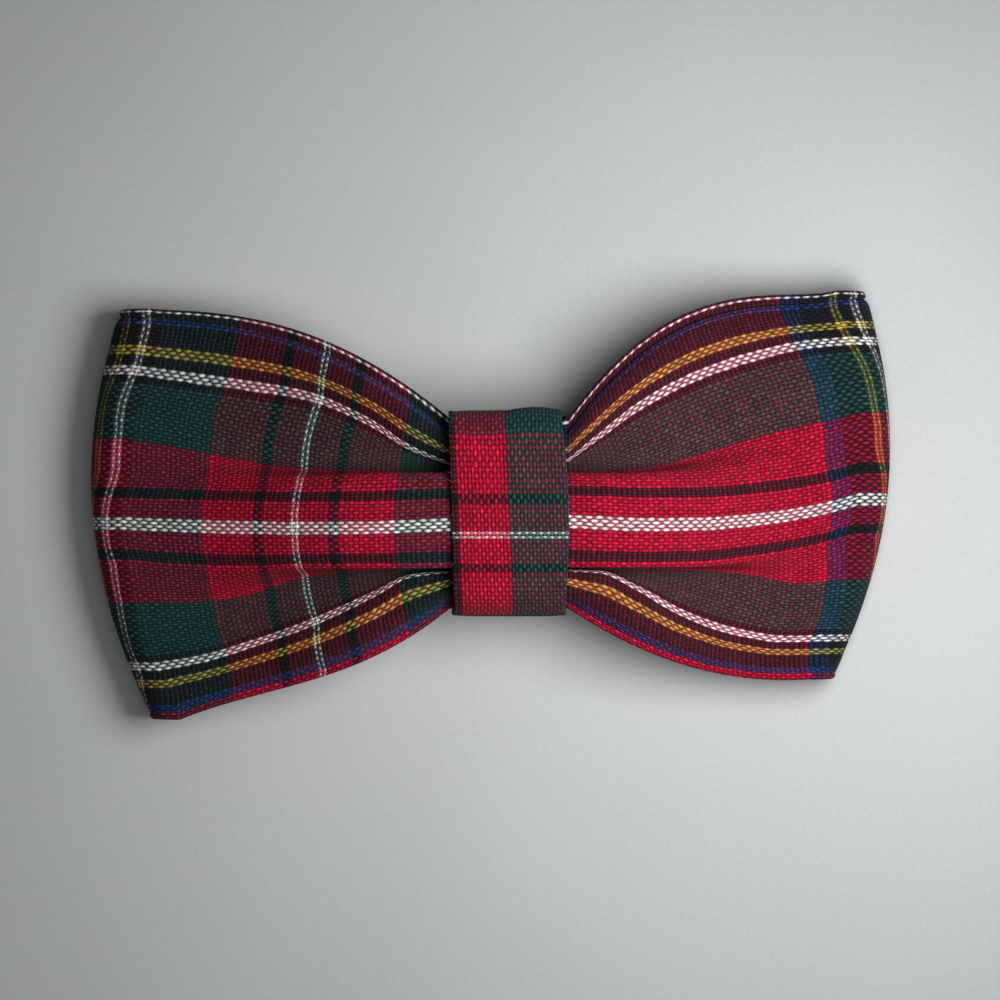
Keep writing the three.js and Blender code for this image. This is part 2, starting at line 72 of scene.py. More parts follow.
# The weft's pitch in the pressed middle of the tube, and how much closer it is drawn towards its sides.
WEFT_MIDDLE_PITCH = 0.770
WEFT_SIDE_DRAW = 0.036
CLOTH = 0.35
# Half the thickness of a flat stretch of the tube, its lining included.
TUBE_HALF = 0.55
# The share of a panel that lies under the centre band.
MOUTH = 0.16

# Thread counts of the tartan from one pivot to the next. The warp's last red is half of a square that mostly
# lies on the inside of the tube.
WARP_SETT = [
    ("white", 1.5), ("red", 6), ("black", 3), ("red", 14), ("green", 17), ("black", 2),
    ("white", 3), ("black", 3), ("yellow", 3), ("black", 6), ("blue", 3), ("red", 49),
]
WEFT_SETT = [
    ("white", 1), ("red", 6), ("black", 2), ("red", 11), ("green", 16), ("black", 2),
    ("white", 2), ("black", 2), ("yellow", 2), ("black", 6), ("blue", 4), ("red", 27),
]
# The weft's count at the middle of the band.
WEFT_PIVOT = 42
DYES = {
    "white": (0.95, 0.93, 0.92),
    "red": (0.67, 0.014, 0.080),
    "black": (0.009, 0.010, 0.013),
    "green": (0.017, 0.068, 0.060),
    "yellow": (0.60, 0.48, 0.10),
    "blue": (0.018, 0.048, 0.200),
}
# How much of the yarn behind shows through each dye.
SHEER = {"white": 0.30, "red": 0.62, "black": 0.0, "green": 0.2, "yellow": 0.48, "blue": 0.2}

# Threads across the tube, from the white pivot at its middle, where the folds of the pinched cloth run.
FRONT_TOP = 61.0
FRONT_BOTTOM = -62.6
FOLD_THREADS = [-45, -24.5, -13, -10.5, 10.5, 17, 24.5, 45]
# How far out along a wing each column of heights stands, as a share from the band to the end fold.
STATIONS = [0, 0.12, 0.25, 0.45, 0.65, 0.85, 1]

# Each wing: the corners of its silhouette, how its top and bottom edges swell between the band and those
# corners, how far its end bulges, and the height of each fold line at each station.
WINGS = {
    "right": {
        "side": 1,
        "top": {"x": 53.6, "y": 33.3, "swell": 1.9, "ease": 1.375},
        "bottom": {"x": 48.7, "y": 24.9, "swell": 1.2, "ease": 1.0},
        "bulge": 6.2,
        "folds": [
            [-8.3, -8.5, -10.7, -14.8, -17.4, -18.6, -18.5],
            [-8.1, -8.1, -8.2, -8.4, -9.0, -10.3, -9.7],
            [-7.9, -7.9, -7.95, -7.9, -7.1, -5.7, -3.8],
            [-6.7, -6.8, -6.9, -6.8, -6.0, -4.6, -2.8],
            [3.8, 3.7, 3.5, 3.6, 4.3, 5.6, 7.3],
            [5.95, 5.95, 6.0, 6.4, 7.6, 9.2, 10.8],
            [6.15, 6.2, 6.5, 8.5, 11.2, 13.2, 14.8],
            [7.7, 11.7, 15.8, 20.2, 23.1, 25.0, 25.6],
        ],
    },
    "left": {
        "side": -1,
        "top": {"x": 58.4, "y": 30.6, "swell": 1.3, "ease": 1.15},
        "bottom": {"x": 53.6, "y": 30.9, "swell": 1.0, "ease": 1.9},
        "bulge": 6.8,
        "folds": [
            [-8.5, -9.0, -11.8, -15.8, -18.9, -21.5, -22.7],
            [-8.2, -8.25, -8.4, -9.3, -12.0, -13.2, -13.2],
            [-8.05, -8.1, -8.1, -8.1, -8.7, -8.5, -7.8],
            [-6.9, -7.0, -7.1, -7.2, -7.5, -7.2, -6.6],
            [3.4, 3.2, 3.0, 2.9, 3.05, 3.4, 3.6],
            [6.0, 6.0, 5.9, 5.5, 5.6, 6.3, 6.9],
            [6.25, 6.25, 6.3, 6.5, 7.9, 9.8, 10.9],
            [7.2, 9.5, 13.4, 17.3, 18.9, 20.2, 21.2],
        ],
    },
}
END_FOLD_RADIUS = 4.0
# Room kept round the tube's middle surface, on every side.
TUBE_ROOM = 0.85
MOUTH_X = BAND_HALF_WIDTH + 0.3
# Half the tube's height where it comes out of the band, and at the middle of the band.
MOUTH_HALF = 13.3
PINCH_HALF = 12.9
# How high the two panels stand at the waist, and how far the front one puffs up beyond it.
FRONT_WAIST = 16.7
BACK_WAIST = 13.95
FRONT_PUFF = 2.2
PUFF_REACH = 0.8
FRONT_PLEAT = 3.0
BACK_PLEAT = 1.5
# The rolled seam along the top edge: its radius at the band and at the wing's end, half its height, the angle
# at which it leaves the face, and the point of the roll where one ply ends and the other begins.
LIP_AT_MOUTH = 1.15
LIP_AT_END = 0.7
LIP_HEIGHT = 0.75
LIP_START = math.radians(150)
LIP_PLY = 6
LIP_POINTS = 14
LIP_WARP = FRONT_TOP + 2.0
LIP_FIRST_THREAD = 41.9
LIP_THREAD_STEP = 0.565
SEAM_GROOVE = 0.35
EDGE_SWELL = 0.15
HEM_RADIUS = 0.85
HEM_POINTS = 10
FACE_POINTS = 127
REVERSE_POINTS = 64
# The tube's hollow: how far it reaches either side of the middle, in threads.
HOLLOW_REACH = 58
HOLLOW_POINTS = 48
LINING_REACH = 56
LINING_POINTS = 44
LINING_HALF = 0.1
# How far short of the middle of the back each end of the loop stops.
CLOTH_END_GAP = 0.3
LINING_END_GAP = 0.5
SEAM_WARP = 59.8


# ---------------------------------------------------------------- sums


def lerp(a, b, share):
    """A value part of the way from one to another."""
    return a + (b - a) * share


def smoothstep(x, low, high):
    """A soft step from 0 to 1 between two places."""
    share = np.clip((x - low) / (high - low), 0, 1)
    return share * share * (3 - 2 * share)


def smooth_through(knots, heights, x):
    """A smooth line through a few knots, with no overshoot between them."""
    knots, heights = np.asarray(knots, float), np.asarray(heights, float)
    step = np.diff(knots)
    rise = np.diff(heights) / step
    slope = np.concatenate([rise[:1], np.zeros(len(rise) - 1), rise[-1:]])
    for i in range(1, len(rise)):
        if rise[i - 1] * rise[i] > 0:
            slope[i] = 2 * rise[i - 1] * rise[i] / (rise[i - 1] + rise[i])
    i = np.clip(np.searchsorted(knots, x) - 1, 0, len(step) - 1)
    s = (x - knots[i]) / step[i]
    h = step[i]
    return (
        heights[i] * (1 + 2 * s) * (1 - s) ** 2
        + slope[i] * h * s * (1 - s) ** 2
        + heights[i + 1] * s * s * (3 - 2 * s)
        + slope[i + 1] * h * s * s * (s - 1)
    )


# ---------------------------------------------------------------- the loop of cloth

def past_mouth(t):
    """How far out along the free part of a wing a share t of a panel lies, from 0 to 1."""
    return max(0.0, (t - MOUTH) / (1 - MOUTH))


def edge_height(edge, t):
    """How far the tube's silhouette stands from the middle of the band, at a share t of a panel."""
    out = past_mouth(t)
    climb = out + edge["swell"] * out * (1 - out) ** edge["ease"]
    waist = lerp(PINCH_HALF, MOUTH_HALF, min(1.0, t / MOUTH) ** 2)
    return waist + (edge["y"] - TUBE_ROOM - MOUTH_HALF) * climb + TUBE_ROOM


def lip_width(t):
    """The radius of the rolled seam at a share t of a panel."""
    return lerp(LIP_AT_MOUTH, LIP_AT_END, past_mouth(t))


def across(wing, t, w):
    """Where each thread of a panel lies in Y. Threads crowd on the ridge's flanks and in the valleys."""
    out = past_mouth(t)
    top = edge_height(wing["top"], t) - lip_width(t) * (1 - math.cos(LIP_START))
    bottom = -edge_height(wing["bottom"], t) + HEM_RADIUS
    lines = [float(smooth_through(STATIONS, heights, np.array([out]))[0]) for heights in wing["folds"]]
    lobe_low = lines[0] + (bottom - lines[0]) * 0.5
    lobe_high = lines[-1] + (top - lines[-1]) * 0.5
    knots = [FRONT_BOTTOM, -53.5, *FOLD_THREADS, 53, FRONT_TOP, FRONT_TOP + 4]
    return smooth_through(knots, [bottom, lobe_low, *lines, lobe_high, top, top + 2], w)


# The pleats' profile across the tube: 1 on a ridge and -1 in a valley.
PLEAT_KNOTS = [
    FRONT_BOTTOM, -56, -50, -45, -34, -24.5, -15, -12, 0, 12, 16, 24.5, 34, 45, 51, 56, FRONT_TOP + 4,
]
PLEAT_SHAPE = [
    -0.6, 0.1, 0.0, -0.5, -0.95, -1.0, 0.4, 0.85, 1.0, 0.9, 0.6, -1.0, -0.95, -0.55, 0.05, 0.25, -0.6,
]


def end_line(wing, y, low, high):
    """How far out the wing's end stands at each height, and that height from -1 to 1."""
    v = np.clip(2 * (y - low) / (high - low) - 1, -1, 1)
    return lerp(wing["bottom"]["x"], wing["top"]["x"], (v + 1) / 2) + wing["bulge"] * (1 - v * v)


def panel_row(wing, is_front, t, w):
    """The middle surface of a front or back panel, across the tube at a share t of its length."""
    y = across(wing, t, w)
    end = end_line(wing, y, -edge_height(wing["bottom"], t), edge_height(wing["top"], t))
    out = past_mouth(t)
    x = lerp(min(1.0, t / MOUTH) * MOUTH_X, end - END_FOLD_RADIUS - TUBE_ROOM, out)
    pleats = smooth_through(PLEAT_KNOTS, PLEAT_SHAPE, w)
    if is_front:
        puff = FRONT_PUFF * math.sin(math.pi * min(t, PUFF_REACH) / PUFF_REACH) ** 2
        level = lerp(FRONT_WAIST, TUBE_ROOM + 2 * END_FOLD_RADIUS, smoothstep(t, 0.1, 1)) + puff
        depth = FRONT_PLEAT * (1 - smoothstep(out, 0.35, 1.0))
    else:
        level = lerp(BACK_WAIST, TUBE_ROOM, smoothstep(t, 0.3, 0.92))
        depth = BACK_PLEAT * (1 - smoothstep(out, 0.1, 0.7))
    z = level + depth * pleats
    facing = np.zeros((len(w), 3))
    facing[:, 2] = 1 if is_front else -1
    return np.stack([wing["side"] * x, y, z], axis=1), facing


def fold_row(wing, angle, w):
    """The middle surface of a wing's end fold, at an angle from straight out."""
    y = across(wing, 1.0, w)
    end = end_line(wing, y, -edge_height(wing["bottom"], 1.0), edge_height(wing["top"], 1.0))
    x = end - END_FOLD_RADIUS - TUBE_ROOM + END_FOLD_RADIUS * math.cos(angle)
    z = np.full(len(w), TUBE_ROOM + END_FOLD_RADIUS * (1 + math.sin(angle)))
    facing = np.zeros((len(w), 3))
    facing[:, 0] = wing["side"] * math.cos(angle)
    facing[:, 2] = math.sin(angle)
    return np.stack([wing["side"] * x, y, z], axis=1), facing


def loop_row(place, w):
    """A row of the tube. Place runs 0 to 6: back, fold and front of the right wing, then of the left."""
    stage = min(5, int(place))
    along = place - stage
    wing = WINGS["right"] if stage < 3 else WINGS["left"]
    if stage in (1, 4):
        return fold_row(wing, math.pi * (along - 0.5 if stage == 1 else 0.5 - along), w)
    t = along if stage in (0, 3) else 1 - along
    return panel_row(wing, stage in (2, 3), t, w)


def panel_t(place):
    """The share of its panel at which a place of the loop lies. A fold counts as the panel's end."""
    stage = min(5, int(place))
    along = place - stage
    return 1.0 if stage in (1, 4) else (along if stage in (0, 3) else 1 - along)


def loop_places(end_gap):
    """The places of all rows round the loop, whose two ends stop short of the middle of the back."""
    inside = np.linspace(0, MOUTH, 5)[:-1]
    outside = MOUTH + (1 - MOUTH) * np.linspace(0, 1, 47)
    panel = np.concatenate([inside, outside])
    fold = np.linspace(0, 1, 16)[1:-1]
    start = MOUTH * end_gap / MOUTH_X
    stages = [panel, 1 + fold, 2 + (1 - panel[::-1]), 3 + panel[1:], 4 + fold, 5 + (1 - panel[::-1])]
    places = np.concatenate(stages)
    return [start, *[p for p in places if start < p < 6 - start], 6 - start]


# ---------------------------------------------------------------- meshes from rows

def mesh_object(name, points, faces, uvs=None):
    """A smooth piece from points in millimetres from the band's middle, with thread counts as its UV map."""
    mesh = bpy.data.meshes.new(name)
    placed = np.asarray(points, float) * MM + np.array(MIDDLE)
    mesh.from_pydata(placed.tolist(), [], faces)
    if uvs is not None:
        layer = mesh.uv_layers.new(name="cloth")
        layer.data.foreach_set("uv", np.asarray(uvs, np.float32).ravel())
    mesh.polygons.foreach_set("use_smooth", [True] * len(mesh.polygons))
    mesh.update()
    piece = bpy.data.objects.new(name, mesh)
    bpy.context.scene.collection.objects.link(piece)
    return piece


class Skin:
    """Rows of points joined into a surface, with a thread count for each corner."""

    def __init__(self):
        self.points, self.faces, self.uvs = [], [], []

    def add_row(self, row):
        first = len(self.points)
        self.points.extend(row)
        return np.arange(first, first + len(row))

    def face(self, corners, uvs):
        self.faces.append([int(c) for c in corners])
        self.uvs.extend(uvs)

    def tube(self, rows, warp, weft, inwards=False):
        """Closed rings joined in turn. Each ring's warp count has one more value than it has points."""
        for r in range(len(rows) - 1):
            one, other = rows[r], rows[r + 1]
            count = len(one)
            for c in range(count):
                n = (c + 1) % count
                corners = [one[c], one[n], other[n], other[c]]
                uvs = [
                    (warp[c], weft[r][c]), (warp[c + 1], weft[r][n]),
                    (warp[c + 1], weft[r + 1][n]), (warp[c], weft[r + 1][c]),
                ]
                if inwards:
                    corners, uvs = corners[::-1], uvs[::-1]
                self.face(corners, uvs)

    def end_ring(self, outer, inner, flip):
        """Joins two closed rings of different counts, as at the cut end of a tube."""
        i = j = 0
        while i < len(outer) or j < len(inner):
            a, b = outer[i % len(outer)], inner[j % len(inner)]
            if i / len(outer) <= j / len(inner):
                corners = [a, outer[(i + 1) % len(outer)], b]
                i += 1
            else:
                corners = [a, inner[(j + 1) % len(inner)], b]
                j += 1
            self.face(corners[::-1] if flip else corners, [(0, 0)] * 3)


def offset_row(place, w, off):
    """A row of the tube, moved off its middle surface towards its outside."""
    middle, facing = loop_row(place, w)
    return middle + facing * np.asarray(off, float)[:, None]


FACE_COLUMNS = np.linspace(FRONT_BOTTOM, FRONT_TOP, FACE_POINTS)
REVERSE_COLUMNS = np.linspace(FRONT_TOP, FRONT_BOTTOM, REVERSE_POINTS)
LIP_ANGLES = np.linspace(LIP_START, -math.pi / 2, LIP_POINTS)
HEM_ANGLES = np.linspace(-math.pi / 2, math.pi / 2, HEM_POINTS)[1:-1]


def across_edge(place, edge):
    """The height of the silhouette's top or bottom edge at a place of the loop."""
    wing = WINGS["right"] if min(5, int(place)) < 3 else WINGS["left"]
    return edge_height(wing[edge], panel_t(place))


def edge_swell(w):
    """The tube is a little thicker where its seams lie."""
    return EDGE_SWELL * smoothstep(np.abs(w), 48, 60)


def tube_ring(place):
    """One ring of the tube's outside: up its face, over the rolled seam, down its reverse, round the hem."""
    lip = lip_width(panel_t(place))
    groove = SEAM_GROOVE * smoothstep(FACE_COLUMNS, FRONT_TOP - 1.6, FRONT_TOP)
    face = offset_row(place, FACE_COLUMNS, TUBE_HALF + edge_swell(FACE_COLUMNS) - groove)
    top, facing = loop_row(place, np.array([LIP_WARP]))
    top_edge = across_edge(place, "top")
    roll = []
    for angle in LIP_ANGLES:
        point = top[0] + facing[0] * LIP_HEIGHT * math.sin(angle)
        point[1] = top_edge - lip + lip * math.cos(angle)
        roll.append(point)
    reverse = offset_row(place, REVERSE_COLUMNS, -(TUBE_HALF + edge_swell(REVERSE_COLUMNS)))
    low, facing = loop_row(place, np.array([FRONT_BOTTOM]))
    hem = []
    for angle in HEM_ANGLES:
        point = low[0] + facing[0] * HEM_RADIUS * math.sin(angle)
        point[1] -= HEM_RADIUS * math.cos(angle)
        hem.append(point)
    return np.concatenate([face, roll, reverse, hem])


def ring_warp():
    """The warp count round one ring: the face, then from the seam's other side over the roll to the hem."""
    half = sum(count for _, count in WARP_SETT)
    hem_arc = math.pi * HEM_RADIUS / WARP_PITCH
    hem_start = FRONT_BOTTOM - hem_arc
    lip = LIP_FIRST_THREAD - 2 * half + LIP_THREAD_STEP * np.arange(len(LIP_ANGLES))
    lip[LIP_PLY:] += 2
    reverse = np.linspace(lip[-1] + 0.5, hem_start, REVERSE_POINTS)
    hem = np.linspace(hem_start, FRONT_BOTTOM, len(HEM_ANGLES) + 2)[1:-1]
    return np.concatenate([FACE_COLUMNS, lip, reverse, hem])


def weft_counts(places, columns):
    """Threads of weft from the white pivot, by the length of each warp thread from the middle of the band."""
    middles = np.array([loop_row(p, columns)[0] for p in places])
    steps = np.linalg.norm(np.diff(middles, axis=0), axis=2)
    run = np.concatenate([np.zeros((1, len(columns))), np.cumsum(steps, axis=0)])
    start = int(np.argmin([abs(p - 3) for p in places]))
    pitch = WEFT_MIDDLE_PITCH - WEFT_SIDE_DRAW * smoothstep(np.abs(columns), 2, 25)
    return WEFT_PIVOT - (run - run[start]) / pitch


def flat_loop(reach, count, half):
    """Columns and offsets of a thin closed loop about the middle surface."""
    there = np.linspace(-reach, reach, count)
    return np.concatenate([there, there[::-1]]), np.concatenate([np.full(count, half), np.full(count, -half)])


def make_bow_cloth():
    """The tube of tartan: its woven outside, its hollow, and the two cut ends that meet behind the waist."""
    skin = Skin()
    places = loop_places(CLOTH_END_GAP)
    outer = [skin.add_row(tube_ring(p)) for p in places]
    columns = np.concatenate([
        FACE_COLUMNS, np.full(len(LIP_ANGLES), LIP_WARP),
        REVERSE_COLUMNS, np.full(len(HEM_ANGLES), FRONT_BOTTOM),
    ])
    weft = weft_counts(places, columns)
    count = len(outer[0])
    warp = ring_warp()
    for r in range(len(places) - 1):
        one, other = outer[r], outer[r + 1]
        for c in range(count):
            n = (c + 1) % count
            here, there = warp[c], warp[n]
            # Two plies meet in the seam's groove and on top of the roll, and the count starts again there.
            if c == FACE_POINTS - 1:
                here = there - 0.6
            elif c == FACE_POINTS + LIP_PLY - 1:
                here = there - 0.5
            skin.face(
                [one[c], one[n], other[n], other[c]],
                [(here, weft[r][c]), (there, weft[r][n]), (there, weft[r + 1][n]), (here, weft[r + 1][c])],
            )
    hollow_w, hollow_off = flat_loop(HOLLOW_REACH, HOLLOW_POINTS, TUBE_HALF - CLOTH)
    inner = [skin.add_row(offset_row(p, hollow_w, hollow_off)) for p in places]
    skin.tube(inner, np.append(hollow_w, hollow_w[0]), weft_counts(places, hollow_w), inwards=True)
    skin.end_ring(outer[0], inner[0], True)
    skin.end_ring(outer[-1], inner[-1], False)
    return mesh_object("tartan_bow", skin.points, skin.faces, skin.uvs)


# ---------------------------------------------------------------- the centre band

BAND_WALL = 0.9
BAND_CORNER = 3.4
# The corner at the front's bottom edge is rounder than the other three.
BAND_LOW_CORNER = 7.0
BAND_CORNER_STEPS = 16
BAND_RUN_STEPS = 8
BAND_FRONT_STEPS = 44
# Half the gap behind, where the band's ends are whipped together.
BAND_GAP_HALF = 0.4
# The front's top edge isn't straight: it dips on the left and rises on the right by this much.
BAND_WAVE = 0.45
BAND_EDGE_DROP = 0.25
BAND_COLUMNS = 48
BAND_EDGE_STEPS = 9
BAND_WARP_PITCH = 0.538
BAND_WARP_START = 24.5
LINING_NEAR = BAND_WALL + 0.02
LINING_FAR = BAND_WALL + 0.3
LINING_NARROW = 1.7
# Heights on the band's face where whole counts of weft lie, from its white pivot.
BAND_WEFT_HEIGHTS = [-14.3, -8.0, -3.2, 2.1, 11.8]
BAND_WEFT_THREADS = [-20, -8, 0, 8, 20]


def band_path(depth):
    """The band's way round the waist, in Y and Z, that far inside its outer face."""
    half = BAND_HALF_HEIGHT
    corners = [
        (-half + BAND_CORNER, BAND_BACK + BAND_CORNER, BAND_CORNER, 270),
        (-half + BAND_LOW_CORNER, BAND_FRONT - BAND_LOW_CORNER, BAND_LOW_CORNER, 180),
        (half - BAND_CORNER, BAND_FRONT - BAND_CORNER, BAND_CORNER, 90),
        (half - BAND_CORNER, BAND_BACK + BAND_CORNER, BAND_CORNER, 0),
    ]
    points = [(-BAND_GAP_HALF, BAND_BACK + depth)]
    for y, z, radius, start in corners:
        arc = []
        for step in range(BAND_CORNER_STEPS + 1):
            angle = math.radians(start - 90 * step / BAND_CORNER_STEPS)
            arc.append((y + (radius - depth) * math.cos(angle), z + (radius - depth) * math.sin(angle)))
        count = BAND_FRONT_STEPS if start == 90 else BAND_RUN_STEPS
        last = points[-1]
        for step in range(1, count):
            share = step / count
            points.append((lerp(last[0], arc[0][0], share), lerp(last[1], arc[0][1], share)))
        points.extend(arc)
    last = points[-1]
    for step in range(1, BAND_RUN_STEPS + 1):
        points.append((lerp(last[0], BAND_GAP_HALF, step / BAND_RUN_STEPS), last[1]))
    return np.array(points)


def band_sides(share):
    """The band's left and right edges at a share of its half height."""
    return -8.5 - 0.45 * share, 8.85 - 0.95 * (share + 0.15) ** 2


def band_section(left, right, half):
    """The strip's section and the run of its surface: face, right edge, inside, left edge."""
    section, runs = [], []

    def round_edge(middle, way, angles, run_at):
        for degrees in angles:
            angle = math.radians(degrees)
            up = math.sin(angle)
            height = half * (0.75 * max(0, up) + min(0, up))
            section.append((middle + way * half * math.cos(angle), height))
            runs.append(run_at(angle))

    for x in np.linspace(left + half, right - half, BAND_COLUMNS):
        across_face = 2 * (x - left) / (right - left) - 1
        section.append((x, half - BAND_EDGE_DROP * across_face ** 6))
        runs.append(x)
    down = np.linspace(90, -90, BAND_EDGE_STEPS)[1:-1]
    round_edge(right - half, 1, down, lambda angle: right - half + half * (math.pi / 2 - angle))
    for x in np.linspace(right - half, left + half, BAND_COLUMNS):
        section.append((x, -half))
        runs.append(2 * right - x)
    round_edge(left + half, -1, -down, lambda angle: left + half - half * (math.pi / 2 - angle))
    return section, np.array(runs)


def band_weft(outline):
    """The weft's count along the band: by height on its face, and by length behind it."""
    run = np.concatenate([[0], np.cumsum(np.linalg.norm(np.diff(outline, axis=0), axis=1))])
    on_face = np.flatnonzero(outline[:, 1] > outline[:, 1].max() - 0.01)
    first, last = on_face[0], on_face[-1]
    weft = smooth_through(BAND_WEFT_HEIGHTS, BAND_WEFT_THREADS, outline[:, 0])
    weft[:first + 1] = weft[first] - (run[first] - run[:first + 1]) / WEFT_PITCH
    weft[last:] = weft[last] + (run[last:] - run[last]) / WEFT_PITCH
    return weft


def make_band_strip(name, near, far, narrow):
    """A strip with rounded edges that goes round the waist between two depths below the band's face."""
    outer, inner = band_path(near), band_path(far)
    normals = outer - inner
    normals /= np.linalg.norm(normals, axis=1)[:, None]
    half = (far - near) / 2
    skin = Skin()
    rings, warps = [], []
    for (y, z), normal in zip((outer + inner) / 2, normals):
        front = smoothstep(z, BAND_FRONT - 7, BAND_FRONT - 3)
        share = y / BAND_HALF_HEIGHT
        left, right = band_sides(share)
        left = lerp(-BAND_HALF_WIDTH, left, front) + narrow
        right = lerp(BAND_HALF_WIDTH, right, front) - narrow
        slant = lerp(0, -0.22 - 0.67 * share, front)
        section, runs = band_section(left, right, half)
        wave = BAND_WAVE * smoothstep(y, 9, 14.5) * front
        ring = []
        for x, n in section:
            lift = wave * math.sin(math.pi * (x / BAND_HALF_WIDTH + 1))
            ring.append((x, y + normal[0] * n - lift, z + normal[1] * n))
        rings.append(skin.add_row(ring))
        warps.append(BAND_WARP_START + (runs - slant) / BAND_WARP_PITCH)
    weft = band_weft(outer)
    # The thread count starts again where the left edge turns back on to the inside.
    jump = 2 * BAND_COLUMNS + BAND_EDGE_STEPS - 3
    count = len(rings[0])
    for r in range(len(rings) - 1):
        for c in range(count):
            n = (c + 1) % count
            near_w, far_w = (warps[r][c], warps[r][n]), (warps[r + 1][c], warps[r + 1][n])
            if c == jump:
                near_w, far_w = (near_w[1] - 0.5, near_w[1]), (far_w[1] - 0.5, far_w[1])
            skin.face(
                [rings[r][c], rings[r][n], rings[r + 1][n], rings[r + 1][c]],
                [
                    (near_w[0], weft[r]), (near_w[1], weft[r]),
                    (far_w[1], weft[r + 1]), (far_w[0], weft[r + 1]),
                ],
            )
    skin.face(rings[0][::-1], [(0, 0)] * count)
    skin.face(rings[-1], [(0, 0)] * count)
    return mesh_object(name, skin.points, skin.faces, skin.uvs)


# ---------------------------------------------------------------- linings and sewing

def make_interfacing():
    """The stiffening sheet that lies loose inside the tube."""
    skin = Skin()
    places = loop_places(LINING_END_GAP)
    w, off = flat_loop(LINING_REACH, LINING_POINTS, LINING_HALF)
    rings = [skin.add_row(offset_row(p, w, off)) for p in places]
    skin.tube(rings, np.append(w, w[0]), [w] * len(rings))
    skin.face(rings[0][::-1], [(0, 0)] * len(w))
    skin.face(rings[-1], [(0, 0)] * len(w))
    return mesh_object("bow_lining", skin.points, skin.faces, skin.uvs)


def join_rings(faces, rings):
    """Skins a row of rings and closes its two ends."""
    sides = len(rings[0])
    for one, two in zip(rings, rings[1:]):
        for k in range(sides):
            n = (k + 1) % sides
            faces.append([one[k], one[n], two[n], two[k]])
    faces.append(rings[0][::-1])
    faces.append(rings[-1])


SEAM_RADIUS = 0.14
SEAM_PLIES = 2
SEAM_SIDES = 7
SEAM_STEP = 0.16
SEAM_TURNS_PER_MM = 0.9
# Of the whole thread's radius: how far out each ply lies, and its own radius.
PLY_PLACE = 0.5
PLY_RADIUS = 0.55


def strand(name, path):
    """A sewing thread along a path, its plies twisted round one another."""
    path = np.asarray(path, float)
    lengths = np.linalg.norm(np.diff(path, axis=0), axis=1)
    run = np.concatenate([[0], np.cumsum(lengths)])
    s = np.linspace(0, run[-1], int(run[-1] / SEAM_STEP) + 1)
    line = np.stack([np.interp(s, run, path[:, k]) for k in range(3)], axis=1)
    for _ in range(2):
        line[1:-1] = (line[:-2] + 2 * line[1:-1] + line[2:]) / 4
    way = np.gradient(line, axis=0)
    way /= np.linalg.norm(way, axis=1)[:, None]
    side = np.zeros_like(line)
    start = np.cross(way[0], (0, 0, 1.0))
    for i in range(len(line)):
        start = start - way[i] * np.dot(start, way[i])
        start /= np.linalg.norm(start)
        side[i] = start
    other = np.cross(way, side)
    points, faces = [], []
    for ply in range(SEAM_PLIES):
        rings = []
        for i in range(len(line)):
            turn = 2 * math.pi * (SEAM_TURNS_PER_MM * s[i] + ply / SEAM_PLIES)
            outwards = side[i] * math.cos(turn) + other[i] * math.sin(turn)
            core = line[i] + outwards * SEAM_RADIUS * PLY_PLACE
            ring = []
            for k in range(SEAM_SIDES):
                angle = 2 * math.pi * k / SEAM_SIDES
                spoke = side[i] * math.cos(angle) + other[i] * math.sin(angle)
                points.append(core + spoke * SEAM_RADIUS * PLY_RADIUS)
                ring.append(len(points) - 1)
            rings.append(ring)
        join_rings(faces, rings)
    return mesh_object(name, points, faces)


def make_seam_thread():
    """The machine seam that closes the tube, sunk between the plies under its rolled edge."""
    places = loop_places(LINING_END_GAP)
    return strand("tube_seam", [offset_row(p, np.array([SEAM_WARP]), [0.0])[0] for p in places])


# Loose hairs: how many stand on the bow and on the band, and how thick they are at the root.
BOW_HAIRS = 230
BAND_HAIRS = 60
BOW_HAIR_RADIUS = 0.013
BAND_HAIR_RADIUS = 0.012
HAIR_STEPS = 6
HAIR_SIDES = 3
HAIR_BEND = 0.28
HAIR_TAPER = 0.6
LOWEST_HAIR = 0.05


